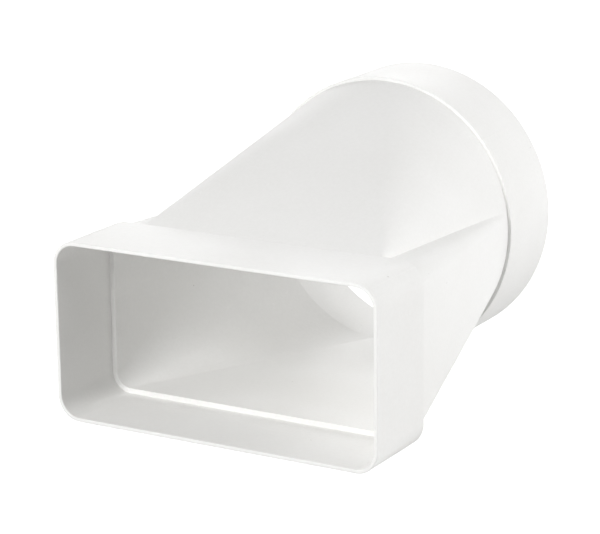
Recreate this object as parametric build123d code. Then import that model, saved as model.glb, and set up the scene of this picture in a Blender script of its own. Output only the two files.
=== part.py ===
from build123d import *

import os
from math import cos, radians, sin

# Flat-to-round duct adapter, moulded in one piece.
#
# A rectangular sleeve takes a flat duct, a round collar takes a round pipe, and a tapered hood joins
# the two. The underside runs flush from end to end. The rectangular mouth faces -Y and the collar
# faces +Y; the origin is on the underside, below the middle of the length. Sizes are in millimetres.

# ducts that plug in
duct_width = 120.0  # outside of the flat duct, across
duct_height = 60.0  # outside of the flat duct, up
pipe_diameter = 100.0  # outside of the round pipe
duct_play_across = 0.8  # play of the flat duct in its socket, all told, across
duct_play_up = 0.3  # play of the flat duct in its socket, all told, up
pipe_play = 0.2  # play of the round pipe in its socket, all told

# lengths along the adapter
sleeve_length = 31.8  # rectangular sleeve, outside
sleeve_socket = 31.0  # how deep the flat duct goes in, up to its stop
hood_length = 86.4  # tapered hood, outside, between sleeve and collar
collar_length = 32.0  # round collar, outside
collar_socket = 28.5  # how deep the round pipe goes in, up to its stop

# walls, steps and roundings
wall = 1.4  # sleeve and collar
duct_stop = 1.8  # ledge that stops the flat duct
pipe_stop = 1.9  # ledge that stops the round pipe
sleeve_step = 0.7  # the hood starts this far in from the sleeve's outside
collar_step = 1.1  # the hood ends this far in from the collar's outside
mouth_corner = 7.0  # corner radius of the flat duct's socket
edge_round = 0.4  # rounding of the two rims
step_round = 0.25  # rounding of the edges at the two steps

# the hood: a flat crown with a cone at each end of it, shoulders, sides and a floor
crown_round = 0.8  # radius at the crown's ends, where the cones start
shelf_width = 6.6  # flat top of a shoulder beside the crown, where the hood leaves the sleeve
floor_corner = 11.0  # lower corner radius of the hood's outside where it leaves the sleeve
crease_angle = 9.0  # degrees above level at which the crease between cone and shoulder reaches the round end
shelf_end = 1.0  # degrees of the round end that a shoulder's flat top narrows to
shoulder_end = 1.0  # degrees of the round end that a shoulder's rounding narrows to
side_end = 7.0  # degrees of the round end that a flat side narrows to
crown_end = 1.0  # degrees of the round end that the crown narrows to, each way
floor_end = 8.0  # degrees of the round end that the flat floor narrows to, each way
floor_lift = 0.8  # how far the hood's underside rises above its circle at the collar

# what follows from them
socket_width = duct_width + duct_play_across
socket_height = duct_height + duct_play_up
sleeve_width = socket_width + 2 * wall
sleeve_height = socket_height + 2 * wall
sleeve_corner = mouth_corner + wall
bore_radius = (pipe_diameter + pipe_play) / 2
collar_radius = bore_radius + wall
pipe_height = collar_radius  # the pipe's axis above the underside
total_length = sleeve_length + hood_length + collar_length

mouth_y = -total_length / 2
hood_start = mouth_y + sleeve_length
hood_stop = hood_start + hood_length
collar_y = total_length / 2
duct_stop_y = mouth_y + sleeve_socket
pipe_stop_y = collar_y - collar_socket


def block(width, height, middle, corner, start, end):
    """A bar with rounded corners along Y."""
    section = Plane(origin=(0, start, middle), x_dir=(1, 0, 0), z_dir=(0, 1, 0))
    return extrude(section * RectangleRounded(width, height, corner), end - start)


def rod(radius, start, end):
    """A cylinder along Y, on the pipe's axis."""
    section = Plane(origin=(0, start, pipe_height), x_dir=(1, 0, 0), z_dir=(0, 1, 0))
    return extrude(section * Circle(radius), end - start)


def mirrored(points):
    """The same points on the other side, in the opposite order."""
    return [(-x, z) for x, z in reversed(points)]


def arc_points(centre, radius, first, last):
    """Start, middle and end of an arc, angles in degrees from +X towards +Z."""
    angles = (first, (first + last) / 2, last)
    return [(centre[0] + radius * cos(radians(a)), centre[1] + radius * sin(radians(a))) for a in angles]


def outline(pieces, y):
    """A closed wire at one Y: two points make a line, three make an arc."""
    edges = []
    for piece in pieces:
        points = [Vector(x, y, z) for x, z in piece]
        if len(points) == 2:
            edges.append(Edge.make_line(*points))
        else:
            edges.append(Edge.make_three_point_arc(*points))
    return Wire(edges)


def flat_end(inset, lower_corner, y):
    """The hood's outline at the sleeve, a given distance in from the sleeve's outside."""
    half = sleeve_width / 2 - inset
    low = inset
    high = sleeve_height - inset
    corner = sleeve_corner - inset
    edge = half - corner
    shelf = high - crown_round
    crown = edge - shelf_width - (inset - sleeve_step)
    cone = arc_points((crown - crown_round, shelf), crown_round, 90, 0)
    flat_top = [(crown, shelf), (edge, shelf)]
    shoulder = arc_points((edge, shelf - corner), corner, 90, 0)
    side = [(half, shelf - corner), (half, low + lower_corner)]
    turn = arc_points((half - lower_corner, low + lower_corner), lower_corner, 0, -90)
    right = [cone, flat_top, shoulder, side, turn]
    left = [mirrored(piece) for piece in reversed(right)]
    top = [(crown_round - crown, high), (crown - crown_round, high)]
    floor = [(half - lower_corner, low), (lower_corner - half, low)]
    return outline([top, *right, floor, *left], y)


def round_end(radius, lift, y):
    """The hood's outline at the collar: a circle cut where the hood's faces arrive, with a flat, lifted floor."""
    shelf_low = crease_angle - shelf_end
    shoulder_low = shelf_low - shoulder_end
    side_low = shoulder_low - side_end
    angles = (90 - crown_end, crease_angle, shelf_low, shoulder_low, side_low, floor_end - 90)
    centre = (0, pipe_height)
    right = [arc_points(centre, radius, a, b) for a, b in zip(angles, angles[1:])]
    right[-1] = [(x, z + lift * step / 2) for step, (x, z) in enumerate(right[-1])]
    left = [mirrored(piece) for piece in reversed(right)]
    top = arc_points(centre, radius, 90 + crown_end, 90 - crown_end)
    floor = [right[-1][-1], left[0][0]]
    return outline([top, *right, floor, *left], y)


def hood(flat, round_off):
    """The hood's body, straight lines from its flat outline to its round one."""
    return Solid.make_loft([flat, round_off], ruled=True)


# the outside: sleeve, hood and collar
sleeve = block(sleeve_width, sleeve_height, sleeve_height / 2, sleeve_corner, mouth_y, hood_start)
sleeve = fillet(sleeve.faces().sort_by(Axis.Y)[-1].edges(), step_round)
collar = rod(collar_radius, hood_stop, collar_y)
collar = fillet(collar.faces().sort_by(Axis.Y)[0].edges(), step_round)
hood_flat = flat_end(sleeve_step, floor_corner, hood_start)
hood_round = round_end(collar_radius - collar_step, floor_lift, hood_stop)
outside = sleeve + hood(hood_flat, hood_round) + collar

# the inside: two sockets and the tapered way between their stops
duct_socket = block(socket_width, socket_height, sleeve_height / 2, mouth_corner, mouth_y, duct_stop_y)
way_flat = flat_end(wall + duct_stop, mouth_corner - duct_stop, duct_stop_y)
way_round = round_end(bore_radius - pipe_stop, 0, pipe_stop_y)
way = hood(way_flat, way_round)
pipe_socket = rod(bore_radius, pipe_stop_y, collar_y)
adapter = outside - duct_socket - way - pipe_socket

# the two rims
rims = adapter.edges().group_by(Axis.Y)
adapter = fillet(rims[0] + rims[-1], edge_round)

os.makedirs("parts", exist_ok=True)
adapter.label = "duct_adapter"
export_step(adapter, "parts/duct_adapter.step")
print("adapter", adapter.bounding_box().size, "volume", round(adapter.volume, 1), "solids", len(adapter.solids()))
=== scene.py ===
# %% [markdown]
# # A white flat-to-round duct adapter
#
# The adapter is one moulding of white plastic: a rectangular sleeve in front, a tapered hood behind it
# and a round collar at the far end. Its shape comes ready-made from the CAD model, so this lesson is
# about what turns an exact solid into a believable picture: a camera that stands where the
# photographer stood, a plastic with a skin of its own, and studio light that shows its form.
#
# Everything is in metres. The mouth looks along -Y, the collar along +Y, and Z = 0 is the table.

# %% Load the exact model
from math import cos, pi, radians, sin

import bpy
from mathutils import Matrix, Vector

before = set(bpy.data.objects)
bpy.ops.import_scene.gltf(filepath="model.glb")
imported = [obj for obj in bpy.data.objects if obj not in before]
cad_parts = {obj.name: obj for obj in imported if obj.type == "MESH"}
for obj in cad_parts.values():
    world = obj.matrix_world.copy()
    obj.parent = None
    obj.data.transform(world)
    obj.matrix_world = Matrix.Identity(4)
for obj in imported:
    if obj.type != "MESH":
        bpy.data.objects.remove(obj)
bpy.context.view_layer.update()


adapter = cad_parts["duct_adapter"]

# %% [markdown]
# ## The camera
#
# A duct fitting is photographed with a long lens from a good step away, so that its rectangle stays
# nearly a rectangle. A camera can be aimed with a Track To constraint or with three angles; here it is
# placed by its own frame instead. Where "right" and "ahead" point is given, "up" follows from the two,
# and the three of them are the columns of its matrix.

# %% Stand where the photographer stood
IMAGE_WIDTH = 600  # pixels
FOCAL_LENGTH = 2469.1  # pixels
SENSOR_WIDTH = 36.0  # millimetres
EYE = Vector((0.41347, -0.72224, 0.27184))
RIGHT = Vector((0.86439, 0.50268, -0.01219)).normalized()  # along the picture's rows
AHEAD = Vector((-0.48755, 0.83195, -0.26487)).normalized()  # into the picture

lens = bpy.data.cameras.new("studio_camera")
lens.sensor_fit = "HORIZONTAL"
lens.sensor_width = SENSOR_WIDTH
lens.lens = FOCAL_LENGTH / IMAGE_WIDTH * SENSOR_WIDTH
camera = bpy.data.objects.new("studio_camera", lens)
up = RIGHT.cross(AHEAD).normalized()
turn = Matrix((RIGHT, up, -AHEAD)).transposed().to_4x4()
camera.matrix_world = Matrix.Translation(EYE) @ turn
bpy.context.scene.collection.objects.link(camera)
bpy.context.scene.camera = camera
bpy.context.scene.view_settings.view_transform = "Standard"
print("lens of", round(lens.lens), "mm,", round(EYE.length, 2), "m from the adapter")

# %% [markdown]
# ## Two helpers for node trees
#
# A material is a tree of nodes joined by links. In the shader editor a node is added, its free inputs
# are typed in and its sockets are joined by hand. A script does the same three things over and over, so
# two short functions take them up: one adds a node with its free inputs set, the other adds a math node
# and gives back what it puts out.

# %% Add a node in one line
def node(tree, kind, **values):
    """A new node with its unlinked inputs set by name."""
    made = tree.nodes.new(kind)
    for name, value in values.items():
        made.inputs[name.replace("_", " ")].default_value = value
    return made


def calculate(tree, operation, first, second):
    """A math node's output; each operand is a socket or a number."""
    made = tree.nodes.new("ShaderNodeMath")
    made.operation = operation
    for slot, operand in zip(made.inputs, (first, second)):
        if isinstance(operand, bpy.types.NodeSocket):
            tree.links.new(operand, slot)
        else:
            slot.default_value = operand
    return made.outputs["Value"]


operations = bpy.types.ShaderNodeMath.bl_rna.properties["operation"].enum_items
print("a math node offers", len(operations), "operations")

# %% [markdown]
# ## Unevenness, shared by two materials
#
# No real surface has the same tone all over. Plastic cools in slow, cloudy patches, and a paper sweep
# takes the light a little unevenly too. Both need the same thing at different sizes, so it is a node
# group: built once, placed in each material with its own scale. It puts out soft patches around zero
# for colour and roughness, and a fine height for bump.

# %% Build the unevenness group
FINE_TO_COARSE = 38.0  # how much finer the height is than the patches
NOISE_LOW = 0.3  # most of a noise lies between these two
NOISE_HIGH = 0.7


def uneven_group():
    """Noise at two sizes: cloudy patches between -1 and 1, and a fine height between 0 and 1."""
    group = bpy.data.node_groups.new("unevenness", "ShaderNodeTree")
    face = group.interface
    face.new_socket("Vector", in_out="INPUT", socket_type="NodeSocketVector")
    face.new_socket("Scale", in_out="INPUT", socket_type="NodeSocketFloat")
    face.new_socket("Patches", in_out="OUTPUT", socket_type="NodeSocketFloat")
    face.new_socket("Height", in_out="OUTPUT", socket_type="NodeSocketFloat")
    inlet = group.nodes.new("NodeGroupInput").outputs
    outlet = group.nodes.new("NodeGroupOutput").inputs

    clouds = node(group, "ShaderNodeTexNoise", Detail=2.0, Roughness=0.45)
    group.links.new(inlet["Vector"], clouds.inputs["Vector"])
    group.links.new(inlet["Scale"], clouds.inputs["Scale"])
    centred = node(group, "ShaderNodeMapRange", From_Min=NOISE_LOW, From_Max=NOISE_HIGH, To_Min=-1.0)
    group.links.new(clouds.outputs["Fac"], centred.inputs["Value"])
    group.links.new(centred.outputs["Result"], outlet["Patches"])

    grain = node(group, "ShaderNodeTexNoise", Detail=1.0)
    group.links.new(inlet["Vector"], grain.inputs["Vector"])
    finer = calculate(group, "MULTIPLY", inlet["Scale"], FINE_TO_COARSE)
    group.links.new(finer, grain.inputs["Scale"])
    group.links.new(grain.outputs["Fac"], outlet["Height"])
    return group


unevenness = uneven_group()
outputs = [item.name for item in unevenness.interface.items_tree if item.in_out == "OUTPUT"]
print("group", unevenness.name, "puts out", outputs)

# %% [markdown]
# ## White plastic
#
# The adapter is moulded in a warm white plastic with a satin skin. A plain white shader would look like
# plaster, so the material adds what the eye expects of a moulding. Cloudy patches shift the tone by a
# percent or two, and the gloss with it. The steel mould leaves a faint orange peel. Here and there a
# grain of darker granulate shows as a speck, and handling has left a few hairline scuffs, a little
# rougher than the skin. All of it could be painted into a texture; driven by the object's own
# coordinates instead, it needs no unwrapping and sits on the part from every side.

# %% Specks and scuffs
SPECK_CELLS_PER_METRE = 90.0
SPECK_RADIUS = 0.022  # of a cell
SPECK_SHARE = 0.55  # of the cells
SCUFFS_PER_METRE = 620.0
SCUFF_SLANT = (radians(20), 0, radians(-35))
SCUFF_STRETCH = 0.012  # the noise runs this much slower along a scuff than across it
SCUFF_LEVEL = 0.72  # noise above this is a scuff
SCUFF_EDGE = 0.06  # this much above the level, a scuff has its full strength


def speck_mask(tree, place):
    """1 in small round specks, in some of the cells that fill the space."""
    cells = node(tree, "ShaderNodeTexVoronoi", Scale=SPECK_CELLS_PER_METRE)
    tree.links.new(place, cells.inputs["Vector"])
    near = calculate(tree, "LESS_THAN", cells.outputs["Distance"], SPECK_RADIUS)
    draw = tree.nodes.new("ShaderNodeSeparateColor")
    tree.links.new(cells.outputs["Color"], draw.inputs["Color"])
    chosen = calculate(tree, "LESS_THAN", draw.outputs["Red"], SPECK_SHARE)
    return calculate(tree, "MULTIPLY", near, chosen)


def scuff_mask(tree, place):
    """Up to 1 in sparse hairlines: a noise stretched along a slanted line, of which only the peaks stay."""
    slant = node(tree, "ShaderNodeMapping", Rotation=SCUFF_SLANT, Scale=(1, SCUFF_STRETCH, 1))
    tree.links.new(place, slant.inputs["Vector"])
    streaks = node(tree, "ShaderNodeTexNoise", Scale=SCUFFS_PER_METRE, Detail=1.0)
    tree.links.new(slant.outputs["Vector"], streaks.inputs["Vector"])
    peaks = node(tree, "ShaderNodeMapRange", From_Min=SCUFF_LEVEL, From_Max=SCUFF_LEVEL + SCUFF_EDGE)
    tree.links.new(streaks.outputs["Fac"], peaks.inputs["Value"])
    return peaks.outputs["Result"]


speck_across = 2 * SPECK_RADIUS / SPECK_CELLS_PER_METRE
print("specks up to", round(speck_across * 1000, 2), "mm across")

# %% Mix the plastic
WHITE = (0.900, 0.896, 0.882)
CLOUD_SHIFT = (-0.014, -0.015, -0.017)
GRAIN_SHIFT = (-0.045, -0.045, -0.047)
SCUFF_SHIFT = (0.020, 0.020, 0.020)
SPECK_SHIFT = (-0.26, -0.27, -0.28)
CLOUDS_PER_METRE = 24.0
SATIN = 0.57  # roughness
CLOUD_SATIN = 0.035  # more or less of it with the clouds
SCUFF_SATIN = 0.12  # more of it on a scuff
PEEL_DEPTH = 0.00002  # metres
SCUFF_BURR = 0.00004  # metres, the ridge that a scuff throws up


def own_place(tree):
    """The object's own coordinates."""
    return tree.nodes.new("ShaderNodeTexCoord").outputs["Object"]


def uneven(tree, place, scale):
    """What the unevenness group puts out in a material, at a scale of its own."""
    placed = tree.nodes.new("ShaderNodeGroup")
    placed.node_tree = unevenness
    placed.inputs["Scale"].default_value = scale
    tree.links.new(place, placed.inputs["Vector"])
    return placed.outputs


def tint(tree, colour, share, shift):
    """The colour moved by the shift as far as the share says."""
    made = tree.nodes.new("ShaderNodeVectorMath")
    made.operation = "MULTIPLY_ADD"
    tree.links.new(share, made.inputs[0])
    made.inputs[1].default_value = shift
    if isinstance(colour, bpy.types.NodeSocket):
        tree.links.new(colour, made.inputs[2])
    else:
        made.inputs[2].default_value = colour
    return made.outputs["Vector"]


def white_plastic():
    """Satin white plastic with clouds, orange peel, specks and scuffs."""
    material = bpy.data.materials.new("white_plastic")
    material.use_nodes = True
    tree = material.node_tree
    skin = tree.nodes["Principled BSDF"]
    place = own_place(tree)
    noise = uneven(tree, place, CLOUDS_PER_METRE)
    clouds = noise["Patches"]
    grain = noise["Height"]
    scuffs = scuff_mask(tree, place)

    tone = tint(tree, WHITE, clouds, CLOUD_SHIFT)
    tone = tint(tree, tone, grain, GRAIN_SHIFT)
    tone = tint(tree, tone, scuffs, SCUFF_SHIFT)
    tone = tint(tree, tone, speck_mask(tree, place), SPECK_SHIFT)
    tree.links.new(tone, skin.inputs["Base Color"])

    satin = calculate(tree, "MULTIPLY", clouds, CLOUD_SATIN)
    satin = calculate(tree, "ADD", satin, SATIN)
    scuffed = calculate(tree, "MULTIPLY", scuffs, SCUFF_SATIN)
    tree.links.new(calculate(tree, "ADD", satin, scuffed), skin.inputs["Roughness"])

    peel = node(tree, "ShaderNodeBump", Distance=PEEL_DEPTH)
    tree.links.new(grain, peel.inputs["Height"])
    burr = node(tree, "ShaderNodeBump", Distance=SCUFF_BURR)
    tree.links.new(scuffs, burr.inputs["Height"])
    tree.links.new(peel.outputs["Normal"], burr.inputs["Normal"])
    tree.links.new(burr.outputs["Normal"], skin.inputs["Normal"])
    return material


plastic = white_plastic()
adapter.material_slots[0].material = plastic
print(plastic.name, "has", len(plastic.node_tree.nodes), "nodes")

# %% [markdown]
# ## The sweep
#
# The picture is taken on a white paper sweep that is lit until it has no tone left. Doing that with
# lamps would burn out the plastic as well. So the paper is an ordinary pale one for every ray that
# carries light to the adapter, and only what the camera sees of it, or a reflection, gets an even glow
# on top. Where the adapter stands, its shadow takes the paper's own light away and shows.

# %% Lay out the paper
PAPER = (0.64, 0.64, 0.64)
PAPER_SHIFT = (0.012, 0.012, 0.012)
PAPER_CLOUDS_PER_METRE = 3.0
PAPER_GLOW = 0.85
SWEEP_SIZE = 8.0


def seen_directly(tree):
    """1 for rays from the camera or off a shiny or clear surface, 0 for rays that carry light."""
    path = tree.nodes.new("ShaderNodeLightPath").outputs
    direct = calculate(tree, "MAXIMUM", path["Is Camera Ray"], path["Is Glossy Ray"])
    return calculate(tree, "MAXIMUM", direct, path["Is Transmission Ray"])


def sweep_paper():
    """Matt paper that glows only to the eye."""
    material = bpy.data.materials.new("sweep_paper")
    material.use_nodes = True
    tree = material.node_tree
    sheet = tree.nodes["Principled BSDF"]
    sheet.inputs["Roughness"].default_value = 1.0
    sheet.inputs["Specular IOR Level"].default_value = 0.0
    sheet.inputs["Emission Color"].default_value = (1, 1, 1, 1)
    clouds = uneven(tree, own_place(tree), PAPER_CLOUDS_PER_METRE)["Patches"]
    tree.links.new(tint(tree, PAPER, clouds, PAPER_SHIFT), sheet.inputs["Base Color"])
    glow = calculate(tree, "MULTIPLY", seen_directly(tree), PAPER_GLOW)
    tree.links.new(glow, sheet.inputs["Emission Strength"])
    return material


bpy.ops.mesh.primitive_plane_add(size=SWEEP_SIZE)
sweep = bpy.context.object
sweep.name = "paper_sweep"
sweep.data.materials.append(sweep_paper())
print("sweep of", SWEEP_SIZE, "m")

# %% [markdown]
# ## The room around it
#
# Beyond the sweep there is only a white wall, far away. The eye sees it white, and so does a reflection,
# but it sends the adapter no soft light of its own. A fill from everywhere would wash out the small
# differences that show a white form on white.

# %% Paint the room
room = bpy.data.worlds.new("white_room")
bpy.context.scene.world = room
room.use_nodes = True
wall = room.node_tree.nodes["Background"]
wall.inputs["Color"].default_value = (1, 1, 1, 1)
room.node_tree.links.new(seen_directly(room.node_tree), wall.inputs["Strength"])
print(room.name, "has", len(room.node_tree.nodes), "nodes")

# %% [markdown]
# ## Softboxes
#
# White on white lives from small differences, so each side of the form gets its own soft light. A small,
# strong strip looks into the mouth, where it draws the line between the dark wall and the lit cone, and
# two weaker boxes in front lift the rims and the crown. The two at the right are large and dim: a small,
# bright box would come back as a glare from the satin skin when someone looks from the left. Those
# behind lay a sheen on the level faces and reach in through the collar.
#
# A softbox is an area lamp. Its brightness is given as a radiance, which stays the same to the eye when
# the box changes its size or distance, and the lamp's power follows from that.

# %% Hang the softboxes
AIM = Vector((0.0, 0.0, 0.05))
BOX_DISTANCE = 1.2


def softbox(name, azimuth, elevation, width, height, radiance):
    """A rectangular lamp that looks at the adapter; azimuth 0 is in front of the mouth, 90 at its right."""
    lamp = bpy.data.lights.new(name, "AREA")
    lamp.shape = "RECTANGLE"
    lamp.size = width
    lamp.size_y = height
    lamp.energy = radiance * pi * width * height
    level = cos(radians(elevation))
    away = Vector((sin(radians(azimuth)) * level, -cos(radians(azimuth)) * level, sin(radians(elevation))))
    holder = bpy.data.objects.new(name, lamp)
    holder.location = AIM + away * BOX_DISTANCE
    holder.rotation_euler = (-away).to_track_quat("-Z", "Y").to_euler()
    bpy.context.scene.collection.objects.link(holder)
    print(name, "gives", round(lamp.energy, 1), "W")


softbox("front_strip", -8, 24, 0.26, 0.56, 21.2)
softbox("front_high", 2, 46, 0.40, 0.36, 2.5)
softbox("front_left", -40, 35, 0.40, 0.40, 2.6)
softbox("right_front", 92, 20, 0.70, 0.85, 2.3)
softbox("right_wall", 122, 20, 0.95, 0.95, 2.8)
softbox("back_low", 182, 14, 0.40, 0.30, 4.2)
softbox("back_left", 212, 24, 0.85, 0.56, 3.7)
softbox("overhead", 50, 72, 0.80, 0.60, 0.3)
